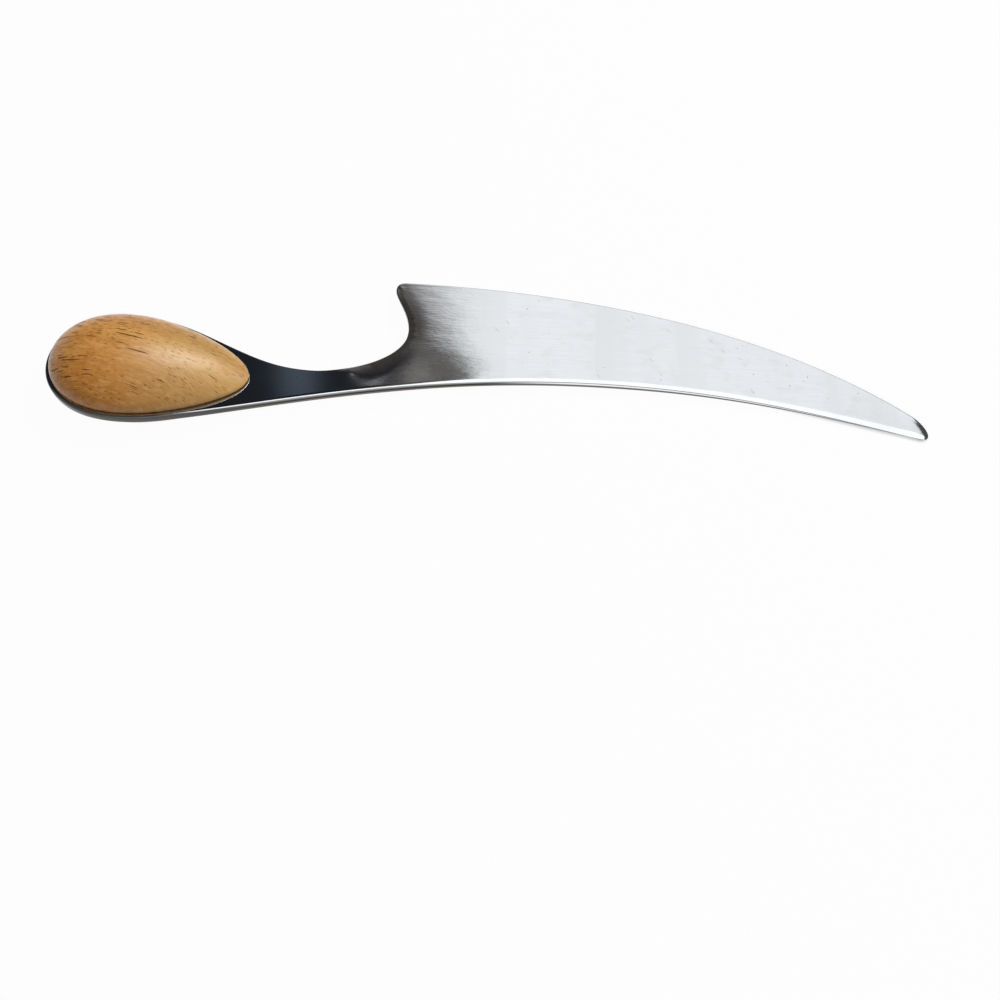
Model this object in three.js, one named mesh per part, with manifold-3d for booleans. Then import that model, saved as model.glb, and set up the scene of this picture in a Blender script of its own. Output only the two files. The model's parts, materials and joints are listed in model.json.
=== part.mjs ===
// Cheese knife: blade, neck and tang in one steel plate, with a half-egg of wood bonded to each side of
// the tang. Millimetres and degrees. The knife is drawn with its plate flat: the middle of the handle is
// the origin, +X runs to the tip, +Y to the cutting edge, +Z is up. At the end it is laid on a table in
// the pose in which it comes to rest.
import * as THREE from 'three';
import { mergeVertices } from 'three/addons/utils/BufferGeometryUtils.js';
import { ConvexHull } from 'three/addons/math/ConvexHull.js';
import Module from 'manifold-3d';

// Handle: an egg, blunt at the butt, with a rim of steel showing round the wood.
const HANDLE_LENGTH = 54.6;
const HANDLE_WIDTH = 31.8;
const HANDLE_TAPER = 0.29;
const HANDLE_TILT = -4.5;
const SCALE_HEIGHT = 8.2;
const RIM = 1.2;

// Plate: one thickness of sheet, with its edges broken.
const PLATE_THICKNESS = 2.4;
const EDGE_ROUND = 0.45;

// Neck and finger notch. A reach is measured along X from the point of the handle, and the angles say how
// far round the egg from its butt the neck leaves the rim.
const NECK_LOW_REACH = 17.6;
const NECK_LOW_Y = 2.05;
const NECK_LEAVES_RIM = 114.5;
const NOTCH_DEEP_REACH = 42.5;
const NOTCH_DEEP_Y = 17.5;
const HEEL_REACH = 38;
const HEEL_ROUND = 3;

// Cutting edge, from the heel to where the rounded tip begins, and the tip from there to the back.
const EDGE_LENGTH = 148.5;
const EDGE_HEIGHT = 35.6;
const EDGE_DROP = 38.3;
const EDGE_SLOPE_AT_TIP = -36.75;
const TIP_LENGTH = 1.6;
const TIP_DEPTH = 7.65;

// Back of the blade: hollow, highest at its crest.
const CREST_REACH = 95;
const CREST_Y = 2.3;
const BACK_LEAVES_RIM = 101.5;
const BACK_SLOPE_AT_TIP = -12.4;

// How long each curve of the outline holds its direction at its two ends, as shares of its span.
const NECK_HOLD = [0.467, 0.35];
const NOTCH_HOLD = [0.218, 0.365];
const THROAT_HOLD = [0.444, 0.2];
const EDGE_HOLD = [0.364, 0.302];
const TIP_HOLD = [0.667, 0.45];
const BACK_HOLD = [0.327, 0.413];
const HOLLOW_HOLD = [0.445, 0.23];

// Grind: each face falls to the cutting edge. The back has a narrow bevel that begins past the heel, and
// the faces roll off towards the notch. Both grow from nothing over a length along X.
const GRIND_WIDTH = 26;
const EDGE_THICKNESS = 0.36;
const BACK_BEVEL_WIDTH = 1.3;
const BACK_BEVEL_DEPTH = 0.3;
const BACK_BEVEL_START = 8;
const BACK_BEVEL_GROWTH = 18;
const NOTCH_ROLL_WIDTH = 2.6;
const NOTCH_ROLL_DEPTH = 0.35;
const NOTCH_ROLL_GROWTH = 16;
const OVERCUT = 0.8;
const RUN_OUT = 8;

// Joinery under the wood.
const BOND_THICKNESS = 0.2;
const BOND_INSET = 0.4;
const SEAT_GAP = 0.05;
const PIN_DIAMETER = 4;
const PIN_SPACING = 22;
const PIN_DEPTH = 5;
const PIN_CLEARANCE = 0.15;

// Densities in grams per cubic millimetre, for the pose at rest.
const STEEL_DENSITY = 0.0078;
const WOOD_DENSITY = 0.00068;
const BRASS_DENSITY = 0.0085;
const BOND_DENSITY = 0.0012;

// Facets: straight steps along each curve of the outline, and round the wood and the pins.
const RIM_STEPS = 64;
const SHORT_STEPS = 12;
const LONG_STEPS = 36;
const EGG_STEPS = 36;
const EGG_SIDES = 48;
const PIN_SIDES = 24;

// Corners nearer than this to each other are one corner.
const WELD = 1e-4;

const wasm = await Module();
wasm.setup();

// Sizes worked out from the driving ones.
const HALF_PLATE = PLATE_THICKNESS / 2;
const SEAT_HEIGHT = HALF_PLATE + SEAT_GAP + BOND_THICKNESS + SEAT_GAP;
const GRIND_SLOPE = (PLATE_THICKNESS - EDGE_THICKNESS) / 2 / GRIND_WIDTH;
const HANDLE_POINT = HANDLE_LENGTH / 2;
const HEEL_X = HANDLE_POINT + HEEL_REACH;
const radians = THREE.MathUtils.degToRad;
const heading = (degrees) => new THREE.Vector2(Math.cos(radians(degrees)), Math.sin(radians(degrees)));

// Egg seen from above, grown by a margin, walked clockwise by its angle from the butt.
class EggCurve extends THREE.Curve {
  constructor(margin, from, to) {
    super();
    this.margin = margin;
    this.from = radians(from);
    this.to = radians(to);
  }

  getPoint(t, target = new THREE.Vector2()) {
    const angle = THREE.MathUtils.lerp(this.from, this.to, t);
    const along = eggDirection(angle);
    const outwards = new THREE.Vector2(-along.y, along.x);
    target.copy(eggPoint(angle)).addScaledVector(outwards, this.margin);
    return target.rotateAround(new THREE.Vector2(), radians(HANDLE_TILT));
  }

  getTangent(t) {
    const angle = THREE.MathUtils.lerp(this.from, this.to, t);
    return eggDirection(angle).rotateAround(new THREE.Vector2(), radians(HANDLE_TILT));
  }
}

// The half-width that gives the egg its full width, whatever its taper.
function eggGirth() {
  const widest = (Math.sqrt(1 + 8 * HANDLE_TAPER ** 2) - 1) / (4 * HANDLE_TAPER);
  return HANDLE_WIDTH / 2 / (Math.sqrt(1 - widest ** 2) * (1 + HANDLE_TAPER * widest));
}

function eggPoint(angle) {
  const width = eggGirth() * Math.sin(angle) * (1 + HANDLE_TAPER * Math.cos(angle));
  return new THREE.Vector2(-HANDLE_POINT * Math.cos(angle), width);
}

function eggDirection(angle) {
  const rise = eggGirth() * (Math.cos(angle) + HANDLE_TAPER * Math.cos(2 * angle));
  return new THREE.Vector2(HANDLE_POINT * Math.sin(angle), rise).normalize();
}

// Curve between two points that holds a given direction at each end.
function bend(start, startHeading, end, endHeading, hold) {
  const span = start.distanceTo(end);
  const first = start.clone().addScaledVector(startHeading, hold[0] * span);
  const second = end.clone().addScaledVector(endHeading, -hold[1] * span);
  return new THREE.CubicBezierCurve(start, first, second, end);
}

// Outline of the plate, clockwise: round the rim, over the neck and notch, along the cutting edge, round
// the tip and back along the hollow back.
function outlineCurves() {
  const rim = new EggCurve(RIM, 360 - BACK_LEAVES_RIM, 360 + NECK_LEAVES_RIM);
  const neckLow = new THREE.Vector2(HANDLE_POINT + NECK_LOW_REACH, NECK_LOW_Y);
  const notchDeep = new THREE.Vector2(HANDLE_POINT + NOTCH_DEEP_REACH, NOTCH_DEEP_Y);
  const heelSide = new THREE.Vector2(HEEL_X, EDGE_HEIGHT - HEEL_ROUND);
  const heelCorner = new THREE.Vector2(HEEL_X, EDGE_HEIGHT);
  const heelTop = new THREE.Vector2(HEEL_X + HEEL_ROUND, EDGE_HEIGHT);
  const tipTop = new THREE.Vector2(HEEL_X + EDGE_LENGTH, EDGE_HEIGHT - EDGE_DROP);
  const tipBack = new THREE.Vector2(tipTop.x + TIP_LENGTH, tipTop.y - TIP_DEPTH);
  const crest = new THREE.Vector2(HANDLE_POINT + CREST_REACH, CREST_Y);
  const forward = heading(0);
  const backward = heading(180);
  const upward = heading(90);
  const edgeEnd = heading(EDGE_SLOPE_AT_TIP);
  const backStart = heading(180 + BACK_SLOPE_AT_TIP);
  return {
    rim,
    neck: bend(rim.getPoint(1), rim.getTangent(1), neckLow, forward, NECK_HOLD),
    notch: bend(neckLow, forward, notchDeep, upward, NOTCH_HOLD),
    throat: bend(notchDeep, upward, heelSide, upward, THROAT_HOLD),
    heel: new THREE.QuadraticBezierCurve(heelSide, heelCorner, heelTop),
    edge: bend(heelTop, forward, tipTop, edgeEnd, EDGE_HOLD),
    tip: bend(tipTop, edgeEnd, tipBack, backStart, TIP_HOLD),
    back: bend(tipBack, backStart, crest, backward, BACK_HOLD),
    hollow: bend(crest, backward, rim.getPoint(0), rim.getTangent(0), HOLLOW_HOLD),
  };
}

// Points along curves that follow each other, without the doubled ends.
function trace(...runs) {
  const points = [];
  for (const [curve, steps] of runs) {
    const next = curve.getPoints(steps);
    points.push(...(points.length > 0 ? next.slice(1) : next));
  }
  return points;
}

// Distance from a point to a line of points.
function distanceTo(line, point) {
  const nearest = new THREE.Vector3();
  const here = new THREE.Vector3(point.x, point.y, 0);
  let least = Infinity;
  for (let i = 1; i < line.length; i += 1) {
    const piece = new THREE.Line3(flat(line[i - 1]), flat(line[i]));
    least = Math.min(least, here.distanceTo(piece.closestPointToPoint(here, true, nearest)));
  }
  return least;
}

function flat(point) {
  return new THREE.Vector3(point.x, point.y, 0);
}

// A line carried straight on at its two ends, so that a cut along it runs out of the plate.
function runOut(line) {
  const startWay = line[0].clone().sub(line[1]).normalize();
  const endWay = line.at(-1).clone().sub(line.at(-2)).normalize();
  const before = line[0].clone().addScaledVector(startWay, RUN_OUT);
  const after = line.at(-1).clone().addScaledVector(endWay, RUN_OUT);
  return [before, ...line, after];
}

// Solid whose section changes along a line. section(point, inwards) gives pairs of depth into the plate
// and height, and inwards lies to the right of the line.
function sweep(line, side, section) {
  const rings = line.map((point, i) => {
    const from = line[Math.max(i - 1, 0)];
    const to = line[Math.min(i + 1, line.length - 1)];
    const along = to.clone().sub(from).normalize();
    const inwards = new THREE.Vector2(along.y, -along.x);
    const pairs = section(point, inwards);
    return pairs.map(([depth, height]) => [
      point.x + inwards.x * depth,
      point.y + inwards.y * depth,
      side * height,
    ]);
  });
  const sides = rings[0].length;
  const triangles = [];
  for (let i = 1; i < rings.length; i += 1) {
    for (let k = 0; k < sides; k += 1) {
      const a = (i - 1) * sides + k;
      const b = (i - 1) * sides + ((k + 1) % sides);
      triangles.push(a, a + sides, b, b, a + sides, b + sides);
    }
  }
  const last = (rings.length - 1) * sides;
  for (let k = 2; k < sides; k += 1) {
    triangles.push(0, k - 1, k, last, last + k, last + k - 1);
  }
  if (side < 0) {
    triangles.reverse();
  }
  const geometry = new THREE.BufferGeometry();
  geometry.setAttribute('position', new THREE.Float32BufferAttribute(rings.flat(2), 3));
  geometry.setIndex(triangles);
  return toSolid(geometry);
}

// Closed mesh to solid and back.
function toSolid(geometry) {
  const bare = geometry.clone();
  bare.deleteAttribute('normal');
  bare.deleteAttribute('uv');
  const merged = mergeVertices(bare, WELD);
  const triangles = [];
  for (let i = 0; i < merged.index.count; i += 3) {
    const corners = [0, 1, 2].map((k) => merged.index.getX(i + k));
    if (new Set(corners).size === 3) {
      triangles.push(...corners);
    }
  }
  return new wasm.Manifold(new wasm.Mesh({
    numProp: 3,
    vertProperties: new Float32Array(merged.attributes.position.array),
    triVerts: new Uint32Array(triangles),
  }));
}

function toGeometry(solid) {
  const mesh = solid.getMesh();
  const geometry = new THREE.BufferGeometry();
  geometry.setAttribute('position', new THREE.Float32BufferAttribute(mesh.vertProperties, 3));
  geometry.setIndex(Array.from(mesh.triVerts));
  geometry.computeVertexNormals();
  return geometry;
}

// Pins stand on the egg's long axis, as far before its middle as behind it.
function pinPlace(side) {
  return heading(HANDLE_TILT).multiplyScalar(side * PIN_SPACING / 2);
}

function pinSolid(side, radius, height) {
  const place = pinPlace(side);
  const geometry = new THREE.CylinderGeometry(radius, radius, height, PIN_SIDES);
  geometry.rotateX(Math.PI / 2);
  geometry.translate(place.x, place.y, 0);
  return toSolid(geometry);
}

function drill(solid, height) {
  const radius = PIN_DIAMETER / 2 + PIN_CLEARANCE;
  return [-1, 1].reduce((rest, side) => rest.subtract(pinSolid(side, radius, height)), solid);
}

// Blade: a flat blank, ground on both faces to the cutting edge, bevelled along the back, rolled off at the
// notch and broken along every other edge.
function bladeGeometry() {
  const curves = outlineCurves();
  const tip = [curves.tip, SHORT_STEPS];
  const back = [curves.back, LONG_STEPS];
  const hollow = [curves.hollow, LONG_STEPS];
  const rim = [curves.rim, RIM_STEPS];
  const neck = [curves.neck, SHORT_STEPS];
  const notch = [curves.notch, SHORT_STEPS];
  const throat = [curves.throat, SHORT_STEPS];
  const heel = [curves.heel, SHORT_STEPS];
  const edge = [curves.edge, LONG_STEPS];
  const outline = trace(tip, back, hollow, rim, neck, notch, throat, heel, edge).slice(1);
  const blank = new THREE.ExtrudeGeometry(new THREE.Shape(outline), {
    depth: PLATE_THICKNESS,
    bevelEnabled: false,
  });
  blank.translate(0, 0, -HALF_PLATE);

  const edgeLine = runOut(trace(edge));
  const roundLine = runOut(trace(tip, back, hollow, rim, neck, notch, throat, heel));
  const backLine = runOut(trace(back, hollow));
  const notchLine = runOut(trace(notch, throat));
  const above = HALF_PLATE + OVERCUT;
  const halfThickness = (point) => {
    const ground = EDGE_THICKNESS / 2 + distanceTo(edgeLine, point) * GRIND_SLOPE;
    return Math.min(HALF_PLATE, ground);
  };
  const grind = () => [
    [-OVERCUT, EDGE_THICKNESS / 2 - OVERCUT * GRIND_SLOPE],
    [GRIND_WIDTH + OVERCUT, HALF_PLATE + OVERCUT * GRIND_SLOPE],
    [GRIND_WIDTH + OVERCUT, above],
    [-OVERCUT, above],
  ];
  // A slope that leaves the face at a width from the plate's edge and lies a depth under it at the edge.
  // Where the plate is thinner the slope is shallower, and until it has grown it lies beside the plate.
  const slope = (width, depth, growth) => (point, inwards) => {
    const face = halfThickness(point.clone().addScaledVector(inwards, width));
    const fall = depth / width * (face / HALF_PLATE);
    const aside = (1 - growth(point.x)) * (width + OVERCUT);
    return [
      [-OVERCUT - aside, face - fall * (width + OVERCUT)],
      [width + OVERCUT - aside, face + fall * OVERCUT],
      [width + OVERCUT - aside, above],
      [-OVERCUT - aside, above],
    ];
  };
  const growFrom = (start, length) => (x) => THREE.MathUtils.smoothstep(x, start, start + length);
  const bevelGrowth = growFrom(HEEL_X + BACK_BEVEL_START, BACK_BEVEL_GROWTH);
  const rollGrowth = growFrom(HANDLE_POINT + NECK_LOW_REACH, NOTCH_ROLL_GROWTH);
  const bevel = slope(BACK_BEVEL_WIDTH, BACK_BEVEL_DEPTH, bevelGrowth);
  const roll = slope(NOTCH_ROLL_WIDTH, NOTCH_ROLL_DEPTH, rollGrowth);
  const rounding = slope(EDGE_ROUND, EDGE_ROUND, () => 1);

  let solid = toSolid(blank);
  for (const side of [1, -1]) {
    for (const [line, section] of [
      [edgeLine, grind], [backLine, bevel], [notchLine, roll], [roundLine, rounding],
    ]) {
      solid = solid.subtract(sweep(line, side, section));
    }
  }
  return toGeometry(drill(solid, 2 * PLATE_THICKNESS));
}

// Scale: an egg turned about its long axis, flattened, halved and drilled for the pins.
function scaleGeometry(side) {
  const profile = [];
  for (let i = 0; i <= EGG_STEPS; i += 1) {
    const point = eggPoint(Math.PI * i / EGG_STEPS);
    const onAxis = i === 0 || i === EGG_STEPS;
    profile.push(new THREE.Vector2(onAxis ? 0 : point.y, point.x));
  }
  const egg = new THREE.LatheGeometry(profile, EGG_SIDES);
  egg.rotateZ(-Math.PI / 2);
  egg.scale(1, 1, SCALE_HEIGHT / (HANDLE_WIDTH / 2));
  egg.rotateZ(radians(HANDLE_TILT));
  const half = new THREE.BoxGeometry(2 * HANDLE_LENGTH, 2 * HANDLE_LENGTH, 2 * SCALE_HEIGHT);
  half.translate(0, 0, -side * SCALE_HEIGHT);
  const dome = toSolid(egg).subtract(toSolid(half));
  const geometry = toGeometry(drill(dome, 2 * (PIN_DEPTH + PIN_CLEARANCE)));
  geometry.translate(0, 0, side * SEAT_HEIGHT);
  return geometry;
}

// Bond: a thin layer of adhesive, a little smaller than the wood.
function bondGeometry(side) {
  const shape = new THREE.Shape(new EggCurve(-BOND_INSET, 0, 360).getPoints(RIM_STEPS).slice(1));
  const layer = new THREE.ExtrudeGeometry(shape, { depth: BOND_THICKNESS, bevelEnabled: false });
  layer.translate(0, 0, -BOND_THICKNESS / 2);
  const geometry = toGeometry(drill(toSolid(layer), PLATE_THICKNESS));
  geometry.translate(0, 0, side * (HALF_PLATE + SEAT_GAP + BOND_THICKNESS / 2));
  return geometry;
}

function pinGeometry(side) {
  return toGeometry(pinSolid(side, PIN_DIAMETER / 2, 2 * (SEAT_HEIGHT + PIN_DEPTH)));
}

function piece(name, geometry, material, density) {
  const mesh = new THREE.Mesh(geometry, new THREE.MeshStandardMaterial(material));
  mesh.name = name;
  mesh.userData.density = density;
  return mesh;
}

// Mass centre of the whole knife, from the signed tetrahedra under its triangles.
function massCentre(meshes) {
  const centre = new THREE.Vector3();
  let mass = 0;
  for (const mesh of meshes) {
    const { index, attributes } = mesh.geometry;
    for (let i = 0; i < index.count; i += 3) {
      const [a, b, c] = [0, 1, 2].map((k) => {
        return new THREE.Vector3().fromBufferAttribute(attributes.position, index.getX(i + k));
      });
      const share = mesh.userData.density * a.dot(b.clone().cross(c)) / 6;
      centre.addScaledVector(a.add(b).add(c), share / 4);
      mass += share;
    }
  }
  return centre.divideScalar(mass);
}

// True if the mass centre stands over a face of the hull, so that the knife can rest on that face.
function standsOn(face, centre) {
  let edge = face.edge;
  do {
    const start = edge.tail().point;
    const along = edge.head().point.clone().sub(start);
    if (along.cross(centre.clone().sub(start)).dot(face.normal) < 0) {
      return false;
    }
    edge = edge.next;
  } while (edge !== face.edge);
  return true;
}

// Lays the knife on the table: of the faces of its hull that it can rest on, the one that faces down most.
function layOnTable(knife) {
  const down = new THREE.Vector3(0, 0, -1);
  const centre = massCentre(knife.children);
  const hull = new ConvexHull().setFromObject(knife);
  const seats = hull.faces.filter((face) => standsOn(face, centre));
  seats.sort((a, b) => b.normal.dot(down) - a.normal.dot(down));
  knife.quaternion.setFromUnitVectors(seats[0].normal, down);
  const box = new THREE.Box3().setFromObject(knife, true);
  const middle = box.getCenter(new THREE.Vector3());
  knife.position.set(-middle.x, -middle.y, -box.min.z);
}

const steel = { color: 0xc9ccd0, metalness: 1, roughness: 0.3 };
const wood = { color: 0xb98145, metalness: 0, roughness: 0.45 };
const brass = { color: 0xb8944f, metalness: 1, roughness: 0.4 };
const adhesive = { color: 0x3a2c20, metalness: 0, roughness: 0.6 };

const knife = new THREE.Group();
knife.add(
  piece('blade', bladeGeometry(), steel, STEEL_DENSITY),
  piece('front_scale', scaleGeometry(1), wood, WOOD_DENSITY),
  piece('rear_scale', scaleGeometry(-1), wood, WOOD_DENSITY),
  piece('front_bond', bondGeometry(1), adhesive, BOND_DENSITY),
  piece('rear_bond', bondGeometry(-1), adhesive, BOND_DENSITY),
  piece('fore_pin', pinGeometry(1), brass, BRASS_DENSITY),
  piece('aft_pin', pinGeometry(-1), brass, BRASS_DENSITY),
);
layOnTable(knife);

const part = new THREE.Group();
part.add(knife);
export default part;
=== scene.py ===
"""Looks of a cheese knife with an egg-shaped wooden handle, built around its solids."""
import json
import math

import bmesh
import bpy
from bpy.props import FloatProperty, FloatVectorProperty, IntProperty, PointerProperty
from mathutils import Matrix, Vector
from mathutils.bvhtree import BVHTree
from mathutils.geometry import delaunay_2d_cdt, interpolate_bezier
from mathutils.kdtree import KDTree


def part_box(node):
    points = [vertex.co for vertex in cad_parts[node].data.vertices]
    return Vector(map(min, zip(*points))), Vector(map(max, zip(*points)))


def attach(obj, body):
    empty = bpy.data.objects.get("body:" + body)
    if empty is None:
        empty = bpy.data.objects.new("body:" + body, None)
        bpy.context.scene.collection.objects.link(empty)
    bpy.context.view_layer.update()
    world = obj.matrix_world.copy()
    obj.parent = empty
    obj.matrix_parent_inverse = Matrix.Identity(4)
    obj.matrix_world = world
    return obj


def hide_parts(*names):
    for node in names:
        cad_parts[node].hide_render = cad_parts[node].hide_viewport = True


bl_info = {
    "name": "Cheese knife",
    "version": (1, 0, 0),
    "blender": (4, 5, 0),
    "location": "3D View > Sidebar > Cheese knife",
    "description": "Finishes a cheese knife in ground steel, lacquered wood, adhesive and brass",
    "category": "Object",
}

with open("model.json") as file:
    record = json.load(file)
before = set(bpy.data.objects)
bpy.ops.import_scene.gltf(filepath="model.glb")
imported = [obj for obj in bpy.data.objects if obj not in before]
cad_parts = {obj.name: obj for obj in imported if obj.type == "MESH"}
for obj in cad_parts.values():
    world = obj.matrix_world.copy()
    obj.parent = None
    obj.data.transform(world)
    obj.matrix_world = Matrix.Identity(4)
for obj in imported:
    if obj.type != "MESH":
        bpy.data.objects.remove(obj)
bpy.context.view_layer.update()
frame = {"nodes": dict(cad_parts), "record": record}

# A millimetre in metres, the distance at which corners merge, the height that a face is probed from, the
# way of filling a loop that keeps its inside, and how far the finished pieces stay within the solids.
MM = 0.001
WELD = 1e-6
PROBE_HEIGHT = 10 * MM
INSIDE_EDGES = 1
KEEP_IN = 0.025 * MM

# Least step and turn between the true corners of a section.
LEAST_STEP = 0.03 * MM
LEAST_TURN = 0.001

# How much of a bend's radius an inset takes, and how many points to each side share it.
BEND_SHARE = 0.8
BEND_SPREAD = 4

WHITE = (1, 1, 1, 1)


# Plate frame: the flat plate lies in XY, +X runs to the tip, +Y to the cutting edge, and the origin is the
# middle of the handle.
def middle_of(node):
    """Middle of a solid's box in the row frame."""
    low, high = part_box(node)
    return (low + high) / 2


def plate_frame():
    """Matrix from the plate frame to the row frame."""
    mounts = {mount["name"]: mount for mount in frame["record"]["mounts"]}
    normal = Vector(mounts["upper_flat"]["axis"]).normalized()
    along = Vector((1, 0, 0))
    along = (along - normal * along.dot(normal)).normalized()
    turn = Matrix((along, normal.cross(along), normal)).transposed().to_4x4()
    return Matrix.Translation((middle_of("fore_pin") + middle_of("aft_pin")) / 2) @ turn


PLATE = plate_frame()


def solid_in_plate_frame(node):
    """Bmesh of a solid in the plate frame, with its shared corners merged."""
    solid = bmesh.new()
    solid.from_mesh(frame["nodes"][node].data)
    bmesh.ops.remove_doubles(solid, verts=solid.verts, dist=WELD)
    solid.transform(PLATE.inverted())
    solid.normal_update()
    return solid


def section_loops(solid, height):
    """Closed counter-clockwise loops where a solid crosses a level of the plate frame, longest first."""
    cut = solid.copy()
    bmesh.ops.bisect_plane(
        cut,
        geom=[*cut.verts, *cut.edges, *cut.faces],
        plane_co=(0, 0, height),
        plane_no=(0, 0, 1),
        clear_inner=True,
        clear_outer=True,
    )
    waiting = dict.fromkeys(cut.edges)
    loops = []
    while waiting:
        edge = next(iter(waiting))
        del waiting[edge]
        start, here = edge.verts
        loop = [start.co.xy]
        while here is not start:
            loop.append(here.co.xy)
            edge = next(link for link in here.link_edges if link in waiting)
            del waiting[edge]
            here = edge.other_vert(here)
        loops.append(loop if signed_area(loop) > 0 else loop[::-1])
    cut.free()
    return sorted(loops, key=signed_area, reverse=True)


def signed_area(loop):
    """Area inside a loop of points, positive if it runs counter-clockwise."""
    return sum(a.cross(b) for a, b in zip(loop, loop[1:] + loop[:1])) / 2


def with_neighbours(loop):
    """Each point of a closed loop with the points before and after it."""
    return zip(loop[-1:] + loop[:-1], loop, loop[1:] + loop[:1])


def true_corners(loop, least_step, least_turn):
    """Points of a loop without those that are doubled or lie on a straight run."""
    spaced = [here for before, here, after in with_neighbours(loop) if (here - before).length > least_step]
    kept = []
    for before, here, after in with_neighbours(spaced):
        turn = (here - before).normalized().cross((after - here).normalized())
        if abs(turn) > least_turn:
            kept.append(here)
    return kept


def smooth_loop(corners, spacing):
    """Closed loop of points about evenly spaced on a smooth curve through the corners."""
    tangents = [(after - before).normalized() for before, here, after in with_neighbours(corners)]
    points = []
    for i, here in enumerate(corners):
        after = corners[(i + 1) % len(corners)]
        reach = (after - here).length
        steps = max(1, math.ceil(reach / spacing))
        leaving = here + tangents[i] * reach / 3
        arriving = after - tangents[(i + 1) % len(corners)] * reach / 3
        curve = interpolate_bezier(here, leaving, arriving, after, steps + 1)
        points.extend(Vector(point).xy for point in curve[:-1])
    return points


def inward_normals(loop):
    """Unit normals to the left of a counter-clockwise loop."""
    return [(after - before).normalized().orthogonal() for before, here, after in with_neighbours(loop)]


def smooth_step(value, low, high):
    """Smooth step from 0 at low to 1 at high."""
    share = min(1, max(0, (value - low) / (high - low)))
    return share * share * (3 - 2 * share)


def point_tree(points):
    """Tree that finds the nearest of some points."""
    tree = KDTree(len(points))
    for i, point in enumerate(points):
        tree.insert(point.to_3d(), i)
    tree.balance()
    return tree


def inset_shares(loop, insets):
    """Share of its inset that each point of a loop can take where the loop bends tightly."""
    shares = []
    for (before, here, after), inset in zip(with_neighbours(loop), insets):
        ahead = after - here
        turn = math.atan2((here - before).cross(ahead), (here - before).dot(ahead))
        step = (after - before).length / 2
        shares.append(min(1, BEND_SHARE * step / turn / inset) if turn > 0 else 1)
    count = len(shares)
    spread = range(-BEND_SPREAD, BEND_SPREAD + 1)
    return averaged([min(shares[(i + j) % count] for j in spread) for i in range(count)])


def averaged(values):
    """Each value round a loop as the mean of the values near it."""
    count = len(values)
    spread = range(-BEND_SPREAD, BEND_SPREAD + 1)
    return [sum(values[(i + j) % count] for j in spread) / len(spread) for i in range(count)]


def between(first, second, share):
    """Value that lies a share of the way from the first to the second."""
    return first + (second - first) * share


def grid_inside(loops, spacing, margin):
    """Points of a staggered grid inside the first loop and outside the rest, a margin from their points."""
    edges = [pair for loop in loops for pair in zip(loop, loop[1:] + loop[:1])]
    rims = point_tree([point for point, _ in edges])
    left = min(point.x for point, _ in edges)
    low = min(point.y for point, _ in edges)
    high = max(point.y for point, _ in edges)
    points = []
    for row in range(1, math.ceil((high - low) / spacing)):
        y = low + row * spacing
        across = [(a, b) for a, b in edges if (a.y > y) != (b.y > y)]
        crossings = sorted(a.x + (y - a.y) / (b.y - a.y) * (b.x - a.x) for a, b in across)
        origin = left + (spacing / 2 if row % 2 else 0)
        for start, end in zip(crossings[::2], crossings[1::2]):
            columns = range(math.ceil((start - origin) / spacing), math.floor((end - origin) / spacing) + 1)
            row_points = [Vector((origin + column * spacing, y)) for column in columns]
            points.extend(p for p in row_points if rims.find(p.to_3d())[2] > margin)
    return points


def fill(outer, holes, points):
    """Triangles, as corner numbers, that fill a loop round its convex holes through some inner points."""
    coordinates = []
    edges = []
    hole_of = {}
    for number, loop in enumerate([outer, *holes]):
        first = len(coordinates)
        corners = range(first, first + len(loop))
        edges.extend((corner, first + (corner + 1 - first) % len(loop)) for corner in corners)
        coordinates.extend(loop)
        hole_of.update((corner, number) for corner in corners if number)
    coordinates.extend(points)
    made, _, faces, sources, _, _ = delaunay_2d_cdt(coordinates, edges, [], INSIDE_EDGES, WELD)
    if len(made) != len(coordinates):
        raise RuntimeError("the filling of a loop merged or added points")
    triangles = [tuple(sources[corner][0] for corner in face) for face in faces]
    owners = [{hole_of.get(corner) for corner in triangle} for triangle in triangles]
    return [triangle for triangle, owner in zip(triangles, owners) if len(owner) > 1 or None in owner]


def relaxed(heights, faces, free, rounds):
    """Heights after the free points have moved towards their neighbours a few times."""
    near = {i: set() for i in free}
    for face in faces:
        for corner in face:
            if corner in near:
                near[corner].update(other for other in face if other != corner)
    heights = list(heights)
    for _ in range(rounds):
        means = {i: sum(heights[j] for j in near[i]) / len(near[i]) for i in free}
        for i, mean in means.items():
            heights[i] = (heights[i] + mean) / 2
    return heights


def band(first, second):
    """Quads between two rings of corner numbers of the same length."""
    count = len(first)
    return [(first[i], first[(i + 1) % count], second[(i + 1) % count], second[i]) for i in range(count)]


class Shell:
    """Corners, faces and sharp edges of a piece while it is put together."""

    def __init__(self):
        self.corners = []
        self.faces = []
        self.sharp = set()

    def add_ring(self, corners):
        """Adds corners and returns their numbers."""
        first = len(self.corners)
        self.corners += corners
        return list(range(first, len(self.corners)))

    def add_fill(self, triangles, first):
        """Adds triangles whose corners are numbered from the first one."""
        self.faces += [tuple(first + corner for corner in triangle) for triangle in triangles]

    def add_hole(self, mouth, end):
        """Adds the wall of a hole with sharp ends."""
        self.faces += band(mouth, end)
        self.sharp |= ring_edges(mouth) | ring_edges(end)


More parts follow.
